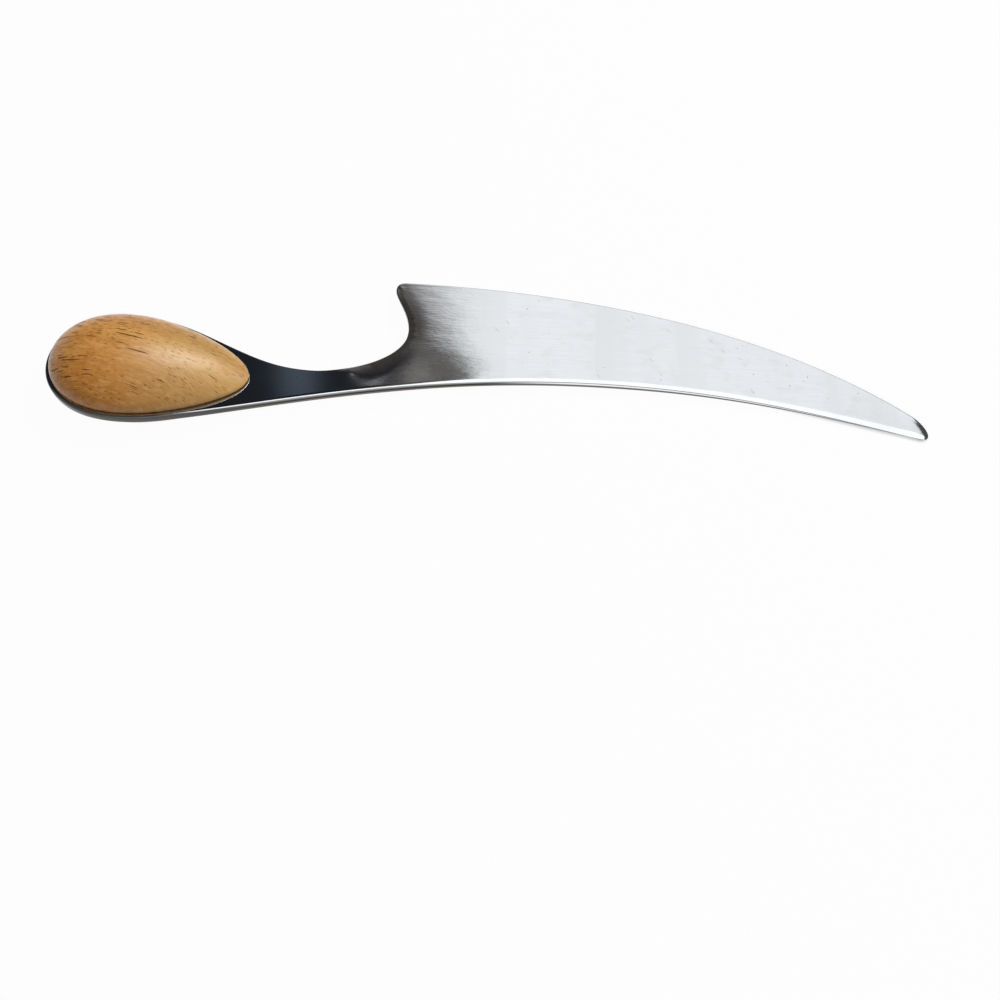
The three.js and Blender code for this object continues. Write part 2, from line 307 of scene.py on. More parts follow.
def add_piece(name, shell, node, material):
    """Makes a smooth mesh from a shell in the plate frame, and lets it stand for a solid."""
    mesh = bpy.data.meshes.new(name)
    mesh.from_pydata(shell.corners, [], shell.faces)
    mesh.transform(PLATE)
    shape = bmesh.new()
    shape.from_mesh(mesh)
    bmesh.ops.recalc_face_normals(shape, faces=shape.faces)
    for face in shape.faces:
        face.smooth = True
    for edge in shape.edges:
        pair = frozenset(vert.index for vert in edge.verts)
        edge.smooth = pair not in shell.sharp
        if len(edge.link_faces) != 2:
            raise RuntimeError(f"{name} is not closed")
    shape.to_mesh(mesh)
    shape.free()
    mesh.materials.append(material)
    piece = bpy.data.objects.new(name, mesh)
    bpy.context.scene.collection.objects.link(piece)
    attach(piece, "root")
    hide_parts(node)


def ring_edges(ring):
    """Pairs of neighbouring corners round a ring."""
    return {frozenset((ring[i - 1], ring[i])) for i in range(len(ring))}


# Shader sums.
class Value:
    """Socket of a shader. Sums on it add Math nodes."""

    def __init__(self, tree, socket):
        self.tree = tree
        self.socket = socket

    def __add__(self, other):
        return self.tree.math("ADD", self, other)

    __radd__ = __add__

    def __sub__(self, other):
        return self.tree.math("SUBTRACT", self, other)

    def __rsub__(self, other):
        return self.tree.math("SUBTRACT", other, self)

    def __mul__(self, other):
        return self.tree.math("MULTIPLY", self, other)


class Tree:
    """Node tree of a material or of the world, written as expressions."""

    def __init__(self, owner):
        owner.use_nodes = True
        self.tree = owner.node_tree
        self.tree.nodes.clear()

    def node(self, kind, settings=None, sockets=None, output=0):
        """Adds a node, sets it up, fills its sockets, and returns one of its outputs."""
        node = self.tree.nodes.new(kind)
        for name, value in (settings or {}).items():
            setattr(node, name, value)
        for name, value in (sockets or {}).items():
            if isinstance(value, Value):
                self.tree.links.new(value.socket, node.inputs[name])
            else:
                node.inputs[name].default_value = value
        return Value(self, node.outputs[output]) if node.outputs else node

    def math(self, operation, *values):
        """Adds a Math node."""
        return self.node("ShaderNodeMath", {"operation": operation}, dict(enumerate(values)))

    def vector(self, operation, *values):
        """Adds a Vector Math node."""
        output = 1 if operation == "DOT_PRODUCT" else 0
        return self.node("ShaderNodeVectorMath", {"operation": operation}, dict(enumerate(values)), output)

    def mix(self, factor, first, second):
        """Mixes two colours."""
        settings = {"data_type": "RGBA", "clamp_factor": True}
        return self.node("ShaderNodeMix", settings, {0: factor, 6: first, 7: second}, output=2)

    def rise(self, value, low, high):
        """Smooth step from 0 at low to 1 at high."""
        sockets = {"Value": value, "From Min": low, "From Max": high}
        return self.node("ShaderNodeMapRange", {"interpolation_type": "SMOOTHSTEP"}, sockets)

    def bump_of(self, value, middle, half):
        """Smooth hump that is 1 at its middle and 0 beyond half its width."""
        return 1 - self.rise(self.math("ABSOLUTE", value - middle), 0, half)

    def tinted(self, colour, *tints):
        """Colour with other colours over it, each where its mask lets it show."""
        for mask, tint in tints:
            colour = self.mix(mask, colour, opaque(tint))
        return colour

    def split(self, vector):
        """X, Y and Z of a vector."""
        source = self.node("ShaderNodeSeparateXYZ", None, {0: vector})
        return [Value(self, socket) for socket in source.socket.node.outputs]

    def joined(self, x, y, z):
        """Vector from its X, Y and Z."""
        return self.node("ShaderNodeCombineXYZ", None, {0: x, 1: y, 2: z})

    def object_place(self):
        """Place on the object, in metres."""
        return self.node("ShaderNodeTexCoord", output=3)

    def facing(self, axis):
        """How much the surface faces along an axis of the plate frame, from -1 to 1."""
        normal = self.node("ShaderNodeTexCoord", output=1)
        return self.vector("DOT_PRODUCT", normal, PLATE.col[axis].xyz)

    def plate_place(self):
        """Place in the plate frame, in millimetres."""
        to_plate = PLATE.inverted()
        sockets = {"Location": to_plate.translation, "Rotation": to_plate.to_euler()}
        metres = self.node("ShaderNodeMapping", None, {**sockets, 0: self.object_place()})
        return self.vector("MULTIPLY", metres, (1 / MM,) * 3)

    def turned(self, vector, angle):
        """Vector turned about Z."""
        return self.node("ShaderNodeMapping", None, {"Rotation": (0, 0, angle), 0: vector})

    def noise(self, place, frequency, detail, roughness=0.5):
        """Noise with its own frequency along each axis."""
        stretched = self.vector("MULTIPLY", place, frequency)
        sockets = {"Vector": stretched, "Scale": 1.0, "Detail": detail, "Roughness": roughness}
        return self.node("ShaderNodeTexNoise", None, sockets)

    def cells(self, place, frequency):
        """Distance to the middle of a stretched random cell, and a random number for the cell."""
        stretched = self.vector("MULTIPLY", place, frequency)
        distance = self.node("ShaderNodeTexVoronoi", None, {"Vector": stretched, "Scale": 1.0})
        chance = self.split(Value(self, distance.socket.node.outputs["Color"]))[0]
        return distance, chance

    def bump(self, height, distance):
        """Normal of a surface with a height pattern."""
        return self.node("ShaderNodeBump", None, {"Height": height, "Distance": distance, "Strength": 1.0})

    def principled(self, sockets):
        """Ends the tree in a principled surface."""
        shader = self.node("ShaderNodeBsdfPrincipled", None, sockets)
        self.node("ShaderNodeOutputMaterial", None, {"Surface": shader})

    def glow(self, colour):
        """Ends the tree in a surface that shines with a colour."""
        shader = self.node("ShaderNodeEmission", None, {"Color": colour, "Strength": 1.0})
        self.node("ShaderNodeOutputMaterial", None, {"Surface": shader})


def opaque(colour):
    """Colour with full alpha."""
    return (*colour, 1)


def new_material(name):
    """Empty material and its tree."""
    material = bpy.data.materials.new(name)
    return material, Tree(material)


# Patterns: frequency of the noise per millimetre along the piece, across it and through it, its detail
# and its roughness.
STREAKS = ((0.05, 3.5, 3.5), 4, 0.7)
GRIT = ((0.3, 1.8, 1.8), 5, 0.65)
CLOUDS = ((0.05, 0.12, 0.12), 3)
SCUFFS = ((0.12, 2.2, 2.2), 3)
WAVES = ((0.12, 0.34, 0.34), 3)
SMUDGES = ((0.16, 0.24, 0.24), 5, 0.65)
REFLECTION_BANDS = ((0.09, 0.006, 0.006), 1)
WANDER = ((0.5, 0.5, 0.5), 2)
SWAY = ((0.04, 0.12, 0.12), 2)
FIGURE = ((0.015, 0.17, 0.1), 4, 0.6)
FIBRES = ((0.35, 1.3, 0.6), 5, 0.75)
CROWDS = ((0.05, 0.22, 0.15), 2)
SPECKS = ((0.9, 1.8, 1.2), 3, 0.6)
HAZE = ((0.6, 0.6, 0.6), 3)
TURNING = ((0.4, 0.4, 9), 3)
NOISE_MEAN = 0.5

# Marks on the steel and the painted reflection bands: between which values of its pattern each grows to its
# full strength.
STREAK_SPAN = (0.3, 0.75)
SCUFF_SPAN = (0.68, 0.74)
SCUFF_CLOUDS = (0.45, 0.6)
SMUDGE_SPAN = (0.48, 0.68)
REFLECTION_BAND_SPAN = (0.46, 0.62)
NICK_SPAN = (0.24, 0.1)
NICK_FADE = 0.005

# Their strength in the colour, the roughness and the relief, the turn of the scuffs, and how far nicks
# wander.
SCUFF_SHARE = 0.3
SMUDGE_AND_REFLECTION_SHARE = 0.8
REFLECTION_BAND_SHARE = 0.7
NICK_SHARE = 0.6
STREAK_ROUGHNESS = 0.1
CLOUD_ROUGHNESS = 0.04
SCUFF_ROUGHNESS = 0.08
TIP_SMOOTHNESS = 0.08
STREAK_RELIEF = 0.15
WAVE_RELIEF = 1.8
SCUFF_TURN = math.radians(24)
NICK_WANDER = 2.4

# Nicks: turn from the length of the blade, frequency along it, across it and through it, and how few cells
# hold one.
NICKS = (
    (math.radians(-35), (0.45, 1.3, 0.3), 0.96),
    (math.radians(50), (0.2, 1.9, 0.3), 0.965),
)

# Calmer steel by the back at the heel, in millimetres across and along, and how much calmer it is.
CALM_ACROSS = (9, 2)
CALM_ALONG = (120, 100)
CALM_SHARE = 0.7

# Wall of the plate, in shares of its direction: how steep it is, how much less steep it may be round the
# handle, and which faces are on the back.
WALL_FACING = (0.45, 0.2)
HANDLE_FACING = (0.45, 0.35)
BACK_SIDE = (0.0, -0.4)

# Where the handle ends, the lower half of the wall for painted shade and the upper for a painted highlight,
# in millimetres.
HANDLE_END = (40, 10)
SHADED_LOWER_WALL = (0.3, 0.0)
BRIGHT_UPPER_WALL = (0.05, 0.35)

# Middle and half-width of the painted shade line along the wall, how much of it the blade loses, and its
# strength round the handle.
WALL_SHADE_LINE = (0.15, 0.65)
CLEARED_LINE = 0.6
HANDLE_SHADE_LINE = 0.55


# Finishes.
def ground_steel(settings):
    """Stainless steel, polished on the neck, ground along the blade, with painted shade and highlight on
    its wall.
    """
    material, tree = new_material("ground_steel")
    place = tree.plate_place()
    streaks = tree.noise(place, *STREAKS)
    clouds = tree.noise(place, *CLOUDS)
    scuffs = tree.noise(tree.turned(place, SCUFF_TURN), *SCUFFS)
    scuffed = tree.rise(scuffs, *SCUFF_SPAN) * tree.rise(clouds, *SCUFF_CLOUDS)
    smudges = tree.rise(tree.noise(place, *SMUDGES), *SMUDGE_SPAN)
    # Painted reflection: soft bands across the blade stand for bands of mirrored light, shown with the
    # smudges.
    reflection_bands = tree.rise(tree.noise(place, *REFLECTION_BANDS), *REFLECTION_BAND_SPAN)
    smudges_and_reflections = tree.math("MAXIMUM", smudges, reflection_bands * REFLECTION_BAND_SHARE)
    colour = tree.tinted(
        opaque(settings.worn_colour),
        (tree.rise(streaks, *STREAK_SPAN), settings.colour),
        (scuffed * SCUFF_SHARE, settings.worn_colour),
        (smudges_and_reflections * SMUDGE_AND_REFLECTION_SHARE, settings.smudge_and_reflection_colour),
        (steel_nicks(tree, place) * NICK_SHARE, settings.nick_colour),
    )
    tree.principled({
        "Base Color": with_wall_shade_and_highlight(tree, settings, place, colour),
        "Metallic": 1.0,
        "Roughness": steel_roughness(tree, settings, place, streaks, clouds, scuffed),
        "Normal": tree.bump(steel_relief(tree, settings, place, streaks), settings.grain_depth),
    })
    return material


def steel_nicks(tree, place):
    """Mask of the few short knocks in the steel."""
    x, y, z = tree.split(place)
    wandering = tree.joined(x, y + tree.noise(place, *WANDER) * NICK_WANDER, z)
    nicks = 0
    for angle, frequency, rarity in NICKS:
        distance, chance = tree.cells(tree.turned(wandering, angle), frequency)
        nicks = nicks + tree.rise(distance, *NICK_SPAN) * tree.rise(chance, rarity, rarity + NICK_FADE)
    return nicks


def steel_roughness(tree, settings, place, streaks, clouds, scuffed):
    """Roughness that grows from the polished neck to the ground blade, and is less again at the tip."""
    x, _, _ = tree.split(place)
    ground = tree.rise(x, settings.polish_end / MM, settings.grind_start / MM)
    roughness = settings.neck_roughness + ground * (settings.blade_roughness - settings.neck_roughness)
    roughness = roughness + ground * (streaks - NOISE_MEAN) * STREAK_ROUGHNESS
    roughness = roughness + (clouds - NOISE_MEAN) * CLOUD_ROUGHNESS + scuffed * SCUFF_ROUGHNESS
    polished = tree.rise(x, settings.tip_polish / MM, settings.tip_full / MM)
    return roughness - polished * TIP_SMOOTHNESS


def steel_relief(tree, settings, place, streaks):
    """Height of the grinding marks and of the waves under them."""
    x, y, _ = tree.split(place)
    calm = tree.rise(y, *CALM_ACROSS) * tree.rise(x, *CALM_ALONG)
    grit = streaks * STREAK_RELIEF + tree.noise(place, *GRIT)
    relief = grit * (1 - calm * CALM_SHARE) + tree.noise(place, *WAVES) * WAVE_RELIEF
    return relief * tree.rise(x, settings.grit_start / MM, settings.grit_full / MM)


def with_wall_shade_and_highlight(tree, settings, place, colour):
    """Colour of the faces, with painted shade on the plate's wall and a painted highlight along its back.
    """
    x, _, z = tree.split(place)
    handle = tree.rise(x, *HANDLE_END)
    flatter, steeper = (wall + handle * more for wall, more in zip(WALL_FACING, HANDLE_FACING))
    upright = tree.rise(tree.math("ABSOLUTE", tree.facing(2)), flatter, steeper)
    backward = tree.rise(tree.facing(1), *BACK_SIDE)
    cleared = tree.rise(x, settings.wall_start / MM, settings.wall_end / MM)
    # Painted shade: the wall of handle and neck and the lower back wall of the blade turn dark like
    # mirrored shadow.
    shaded = tree.math("MAXIMUM", 1 - cleared, tree.rise(z, *SHADED_LOWER_WALL) * backward)
    # Painted shade: a dark line along the middle of the wall, strong round the handle.
    line = tree.bump_of(z, *WALL_SHADE_LINE) * (1 - cleared * CLEARED_LINE) * (1 - handle)
    wall = tree.tinted(opaque(settings.wall_shade_colour), (line + handle * HANDLE_SHADE_LINE, settings.shade_line_colour))
    # Painted highlight: the upper half of the back wall of the blade turns bright like mirrored light.
    rim = upright * cleared * backward * tree.rise(z, *BRIGHT_UPPER_WALL)
    return tree.tinted(tree.mix(upright * shaded, colour, wall), (rim, settings.rim_highlight_colour))


# Tones of the wood: between which values of a pattern, places across the handle in millimetres or
# directions of the face each shows, and its strength.
SWAY_REACH = 2
FIGURE_SPAN = (0.34, 0.66)
# Painted shade: the wood darker on the back side of the handle, away from the light.
SHADED_BACK_SPAN = (-4, -13)
PALE_FIBRES = (0.48, 0.68)
PALE_SHARE = 0.65
DARK_FIBRES = (0.5, 0.34)
DARK_SHARE = 0.55
SPECK_SPAN = (0.52, 0.7)
SPECK_SHARE = 0.5
# Strength of the painted light that makes the wood paler towards the neck.
PAINTED_LIGHT_SHARE = 0.5
CROWD_SPAN = (0.3, 0.6)
DOME_FACING = (0.35, 0.75)

# Pores: frequency along the grain, across it and into the wood, half-width in cells, largest share of cells
# that hold one, depth, and where along the handle there are none and where there are most, in millimetres.
PORES = (
    ((0.06, 1.2, 0.12), 0.28, 0.45, 1.0, (10, -8)),
    ((0.16, 1.6, 0.2), 0.28, 0.65, 0.95, (26, -10)),
    ((0.5, 2.4, 0.4), 0.31, 0.9, 0.7, (70, -40)),
)
PORE_RIM = 0.7
PORE_FADE = 0.03

# Scratches: frequency along and across them and into the wood, where they fade, how few cells hold one, and
# their strength.
SCRATCHES = (0.12, 2.2, 0.4)
SCRATCH_SPAN = (0.16, 0.05)
SCRATCH_RARITY = (0.975, 0.98)
SCRATCH_SHARE = 0.5

# Gloss: roughness of the wood, and what pores and fibres add to it, what the bare wood mirrors, the least
# lacquer and what fibres add to it, its roughness, and the height of fibres next to the depth of pores.
WOOD_ROUGHNESS = 0.3
PORE_ROUGHNESS = 0.3
FIBRE_ROUGHNESS = 0.5
WOOD_SPECULAR = 0.1
LEAST_COAT = 0.2
FIBRE_COAT = 1.6
COAT_ROUGHNESS = 0.32
FIBRE_RELIEF = 0.2


def lacquered_wood(settings):
    """Open-grained golden wood under a satin lacquer, with pores that run along the handle."""
    material, tree = new_material("lacquered_wood")
    place = tree.plate_place()
    x, y, z = tree.split(place)
    along = x - settings.grain_start / MM
    fall = along * math.tan(settings.grain_angle) + along * along * settings.grain_bend
    grain = tree.joined(x, y + fall + tree.noise(place, *SWAY) * SWAY_REACH, z)
    fibres = tree.noise(grain, *FIBRES)
    pores = wood_pores(tree, x, grain)
    distance, chance = tree.cells(tree.turned(place, settings.scratch_angle), SCRATCHES)
    scratches = tree.rise(distance, *SCRATCH_SPAN) * tree.rise(chance, *SCRATCH_RARITY)
    # Painted light: the wood turns paler and less red towards the neck, the end that the light falls on.
    paler = tree.rise(x, settings.pale_start / MM, settings.pale_full / MM)
    colour = tree.tinted(
        opaque(settings.dark_figure_and_shade_colour),
        (tree.rise(tree.noise(grain, *FIGURE), *FIGURE_SPAN), settings.colour),
        # Painted shade: darker wood on the back side of the handle.
        (tree.rise(y, *SHADED_BACK_SPAN), settings.dark_figure_and_shade_colour),
        (tree.rise(fibres, *PALE_FIBRES) * PALE_SHARE, settings.pale_colour),
        (tree.rise(fibres, *DARK_FIBRES) * DARK_SHARE, settings.fibre_colour),
        (tree.rise(tree.noise(grain, *SPECKS), *SPECK_SPAN) * SPECK_SHARE, settings.fibre_colour),
        (paler * PAINTED_LIGHT_SHARE, settings.painted_light_colour),
        (pores, settings.pore_colour),
        (scratches * SCRATCH_SHARE, settings.scratch_colour),
    )
    tree.principled({
        "Base Color": colour,
        "Roughness": WOOD_ROUGHNESS + pores * PORE_ROUGHNESS + (fibres - NOISE_MEAN) * FIBRE_ROUGHNESS,
        "Specular IOR Level": WOOD_SPECULAR,
        "Coat Weight": (1 - pores) * (LEAST_COAT + fibres * FIBRE_COAT) * settings.lacquer,
        "Coat Roughness": COAT_ROUGHNESS,
        "Normal": tree.bump(fibres * FIBRE_RELIEF - pores, settings.pore_depth),
    })
    return material


def wood_pores(tree, x, grain):
    """Mask of the open pores, which crowd on the level part of the dome."""
    level = tree.rise(tree.math("ABSOLUTE", tree.facing(2)), *DOME_FACING)
    crowd = tree.rise(tree.noise(grain, *CROWDS), *CROWD_SPAN) * level
    pores = 0
    for frequency, width, share, depth, spread in PORES:
        distance, chance = tree.cells(grain, frequency)
        rare = 1 - crowd * tree.rise(x, *spread) * share
        mask = (1 - tree.rise(distance, width * PORE_RIM, width)) * tree.rise(chance - rare, 0, PORE_FADE)
        pores = pores + mask * depth
    return tree.math("MINIMUM", pores, 1.0)


# Roughness of the adhesive and of the brass, what their patterns add to it, and the depth of the turning
# marks.
ADHESIVE_ROUGHNESS = 0.45
BRASS_ROUGHNESS = 0.25
PATTERN_ROUGHNESS = 0.3
TURNING_DEPTH = 0.004 * MM


def cured_adhesive(settings):
    """Dark adhesive that shows as a line between the wood and the steel."""
    material, tree = new_material("cured_adhesive")
    haze = tree.noise(tree.plate_place(), *HAZE)
    tree.principled({
        "Base Color": tree.tinted(opaque(settings.adhesive_colour), (haze, settings.adhesive_edge_colour)),
        "Roughness": ADHESIVE_ROUGHNESS + haze * PATTERN_ROUGHNESS,
    })
    return material


def turned_brass(settings):
    """Brass of the dowel pins, with fine marks round it."""
    material, tree = new_material("turned_brass")
    marks = tree.noise(tree.plate_place(), *TURNING)
    tree.principled({
        "Base Color": tree.tinted(opaque(settings.brass_colour), (marks, settings.brass_worn_colour)),
        "Metallic": 1.0,
        "Roughness": BRASS_ROUGHNESS + marks * PATTERN_ROUGHNESS,
        "Normal": tree.bump(marks, TURNING_DEPTH),
    })
    return material


# Settings.
def colour_setting(name, description, default):
    """Colour that a user can change."""
    return FloatVectorProperty(
        name=name, description=description, default=default, subtype="COLOR", min=0, max=1
    )


def length_setting(name, description, default):
    """Length that a user can change, in metres."""
    return FloatProperty(
        name=name, description=description, default=default, unit="LENGTH", subtype="DISTANCE", precision=5
    )


def share_setting(name, description, default):
    """Share between 0 and 1 that a user can change."""
    return FloatProperty(
        name=name, description=description, default=default, subtype="FACTOR", min=0, max=1
    )


def angle_setting(name, description, default):
    """Angle that a user can change, in degrees."""
    return FloatProperty(
        name=name, description=description, default=math.radians(default), subtype="ANGLE"
    )


class SteelSettings(bpy.types.PropertyGroup):
    """Shape and finish of the plate."""

    edge_round: length_setting(
        "Edge round", "How far the rounding of an edge reaches into the face", 0.22 * MM
    )
    round_share: share_setting(
        "Round depth", "Most of the plate's half thickness that the rounding takes", 0.65
    )
    round_depth: length_setting("Round height", "Height of the rounding on the full plate", 0.3 * MM)
    edge_width: length_setting(
        "Edge width", "Width along the other edges where the face runs on plainly", 0.6 * MM
    )
    bevel_neck: length_setting("Neck bevel", "Width of the bevel along the neck", 0.6 * MM)
    bevel_heel: length_setting("Heel bevel", "Width of the bevel past the heel", 1.2 * MM)
    bevel_tip: length_setting("Tip bevel", "Width that the bevel grows to towards the tip", 1.6 * MM)
    bevel_start: length_setting(
        "Bevel start", "Where the bevel begins to widen, from the handle", 66 * MM
    )
    bevel_full: length_setting("Bevel full", "Where it has the width of the heel", 92 * MM)
    bevel_slope: share_setting("Bevel slope", "Fall of the bevel for its width", 0.23)
    tip_reach: length_setting(
        "Tip reach", "How far the roll at the tip reaches into the face", 2.0 * MM
    )
    tip_narrow: share_setting(
        "Tip narrowing", "Share of its width that the bevel loses at the tip", 0.55
    )
    tip_taper: length_setting("Tip taper", "How much of the tip it narrows on", 6 * MM)
    tip_drop: length_setting("Tip drop", "How far the roll at the tip comes down", 0.17 * MM)
    tip_half: length_setting("Tip half", "Least half thickness at the tip", 0.04 * MM)
    tip_length: length_setting("Tip length", "How much of the tip has the finer spacing", 12 * MM)
    tip_grid: length_setting("Tip spacing", "Distance between points on the face at the tip", 0.45 * MM)
    spacing: length_setting("Rim spacing", "Distance between points along the outline", 0.7 * MM)
    grid: length_setting("Face spacing", "Distance between points on the face", 1.0 * MM)
    grit_start: length_setting("Grit start", "Where fine marks begin, from the handle", 40 * MM)
    grit_full: length_setting("Grit full", "Where they are deepest", 78 * MM)
    polish_end: length_setting(
        "Polish end", "Where the polish of the neck fades, from the handle", 94 * MM
    )
    grind_start: length_setting("Grind start", "Where the grain of the blade is full", 130 * MM)
    neck_roughness: share_setting("Neck roughness", "Roughness of the polished neck", 0.075)
    blade_roughness: share_setting("Blade roughness", "Roughness of the ground blade", 0.17)
    grain_depth: length_setting("Grain depth", "Depth of the grinding marks", 0.012 * MM)
    colour: colour_setting("Steel", "Colour of clean steel", (0.64, 0.65, 0.66))
    worn_colour: colour_setting("Worn steel", "Colour of steel in the marks", (0.59, 0.6, 0.612))
    # Colour of the real finger marks and of the painted reflection bands.
    smudge_and_reflection_colour: colour_setting(
        "Smudges", "Colour of dull bands and finger marks", (0.56, 0.575, 0.585)
    )
    nick_colour: colour_setting("Nicks", "Colour of small knocks in the steel", (0.22, 0.22, 0.22))
    # Painted shade: dark colour of the wall round the handle and neck and low on the back of the blade.
    wall_shade_colour: colour_setting(
        "Wall steel", "Colour of the blanked edge of handle and neck", (0.17, 0.16, 0.15)
    )
    # Painted shade: colour of the dark line along the wall.
    shade_line_colour: colour_setting("Wall line", "Colour of the dark line along it", (0.015, 0.013, 0.012))
    # Painted highlight: bright colour of the upper half of the back wall of the blade.
    rim_highlight_colour: colour_setting(
        "Rim steel", "Colour of the polished edge along the back", (0.92, 0.92, 0.92)
    )
    wall_start: length_setting(
        "Wall start", "Where the blanked edge begins to clear, from the handle", 92 * MM
    )
    wall_end: length_setting("Wall end", "Where its upper half is as clear as the blade", 122 * MM)
    tip_polish: length_setting(
        "Tip polish", "Where the blade begins to be smoother, from the handle", 200 * MM
    )
    tip_full: length_setting("Tip full", "Where it is as smooth as it gets", 212 * MM)


class WoodSettings(bpy.types.PropertyGroup):
    """Shape and finish of the scales."""

    taper: share_setting("Taper", "How much blunter the butt is than the point", 0.29)
    edge_round: length_setting("Edge round", "Rounding where the wood meets the steel", 0.25 * MM)
    rings: IntProperty(name="Rings", description="Steps from the butt to the point", default=96, min=8)
    sides: IntProperty(name="Sides", description="Steps over the dome", default=48, min=8)
    grain_start: length_setting(
        "Grain start", "Where the grain has its angle, from the handle's middle", -20 * MM
    )
    grain_angle: angle_setting("Grain angle", "Fall of the grain there", 4)
    grain_bend: FloatProperty(
        name="Grain bend", description="How the fall grows along the handle, per millimetre", default=0.0042
    )
    scratch_angle: angle_setting("Scratch angle", "Turn of the scratches", 70)
    scratch_colour: colour_setting("Scratches", "Colour of the few scratches", (0.85, 0.6, 0.3))
    lacquer: share_setting("Lacquer", "Weight of the satin lacquer", 0.75)
    pore_depth: length_setting("Pore depth", "Depth of the pores", 0.03 * MM)
    # Painted light: where and how the wood turns paler towards the neck, the end that the light falls on.
    pale_start: length_setting(
        "Pale start", "Where the wood begins to be paler, from the handle's middle", -20 * MM
    )
    pale_full: length_setting("Pale full", "Where it is palest", 18 * MM)
    painted_light_colour: colour_setting("Wood by the neck", "Colour towards the neck", (0.44, 0.325, 0.12))
    colour: colour_setting("Wood", "Main colour", (0.76, 0.35, 0.07))
    # Also the painted shade on the back side of the handle.
    dark_figure_and_shade_colour: colour_setting("Dark wood", "Colour of the darker figure", (0.58, 0.215, 0.028))
    pale_colour: colour_setting("Pale wood", "Colour of the pale fibres", (0.78, 0.43, 0.14))
    fibre_colour: colour_setting("Dark fibres", "Colour of the dark fibres", (0.45, 0.16, 0.03))
    pore_colour: colour_setting("Pores", "Colour of the open pores", (0.14, 0.045, 0.007))


class JoinerySettings(bpy.types.PropertyGroup):
    """Finish of what is under the wood."""

    adhesive_colour: colour_setting("Adhesive", "Colour of the adhesive", (0.05, 0.032, 0.018))
    adhesive_edge_colour: colour_setting(
        "Adhesive haze", "Colour of its paler clouds", (0.11, 0.075, 0.045)
    )
    brass_colour: colour_setting("Brass", "Colour of the pins", (0.6, 0.42, 0.17))
    brass_worn_colour: colour_setting(
        "Worn brass", "Colour of the marks on the pins", (0.42, 0.29, 0.12)
    )


class StageSettings(bpy.types.PropertyGroup):
    """Camera, light and floor."""

    eye: FloatVectorProperty(
        name="Eye", description="Place of the camera", default=(0.00282, -0.14729, 0.2519), subtype="XYZ",
        unit="LENGTH",
    )
    elevation: angle_setting("Elevation", "Angle of the view below the horizon", 67.2)
    turn: angle_setting("Turn", "Turn of the view to the right", 0.071)
    roll: angle_setting("Roll", "Turn of the camera about its axis", 1.62)
    lens: FloatProperty(name="Lens", description="Focal length of the camera", default=36, unit="CAMERA")
    floor_size: length_setting("Floor", "Width of the floor", 8.0)
    floor_white: share_setting("Floor white", "How much of the floor shows as plain white", 0.965)
    contact: length_setting(
        "Contact", "How far the shadow of what is close above the floor reaches", 1.3 * MM
    )
    floor_colour: colour_setting("Floor colour", "Colour of the floor", (0.7, 0.7, 0.7))
    ambient: share_setting("Ambient", "Light from all round", 0.15)
    card_distance: length_setting("Card distance", "How far the reflected cards stand away", 3.0)
    card_tilt: angle_setting("Card tilt", "Height of a card's middle above the horizon", 45)
    card_light: FloatProperty(
        name="Card light", description="Brightness of the graded card's bright side", default=1.37, min=0
    )
    card_top_light: FloatProperty(
        name="Card top light", description="Brightness of its top", default=1.75, min=0
    )
    card_bright: colour_setting("Card bright", "Tint of its bright side", (0.97, 0.985, 1.0))
    card_warm: colour_setting("Card warm", "Tone next to the bright side", (0.15, 0.14, 0.135))
    card_dark: colour_setting("Card dark", "Tone of the dark side", (0.016, 0.018, 0.023))
    card_low: colour_setting("Card low", "Tone low down on the dark side", (0.06, 0.053, 0.05))
    card_sheen: colour_setting("Card sheen", "Soft patch on the dark side", (0.1, 0.125, 0.16))
    card_glint: colour_setting("Card glint", "Small pale spot on the dark side", (0.8, 0.8, 0.8))
    card_patch: colour_setting("Card patch", "Soft spot next to the bright side", (0.32, 0.3, 0.29))
    card_dim: colour_setting("Card dim", "Tone of the low and far parts", (0.2, 0.2, 0.2))
    dark_card_colour: colour_setting(
        "Dark cards", "Tone of the cards on the left and right", (0.09, 0.09, 0.09)
    )
    front_card_colour: colour_setting("Front card", "Tone of the card in front", (0.4, 0.4, 0.4))


# Steps over the rounded edge, and how often the face is relaxed.
ROUND_STEPS = 4
RELAX_ROUNDS = 16

# Half-width of the crease along the bevel, how far the last ring of the face lies past it, and over what
# length the slope of the face is taken.
CREASE = 0.06 * MM
BEYOND = 0.7 * MM
SLOPE_SPAN = 0.5 * MM

# Rings of the face, as shares of the bevel and how far beyond it, and the margin of the grid inside them
# in its own steps.
FACE_ROWS = ((0.5, 0.0), (1.0, -CREASE), (1.0, CREASE), (1.0, BEYOND))
GRID_MARGIN = 0.6

# Between which shares of its direction the outline counts as the tip or the back.
TIP_FACING = (0.62, 0.92)
BACK_FACING = (0.5, 0.85)


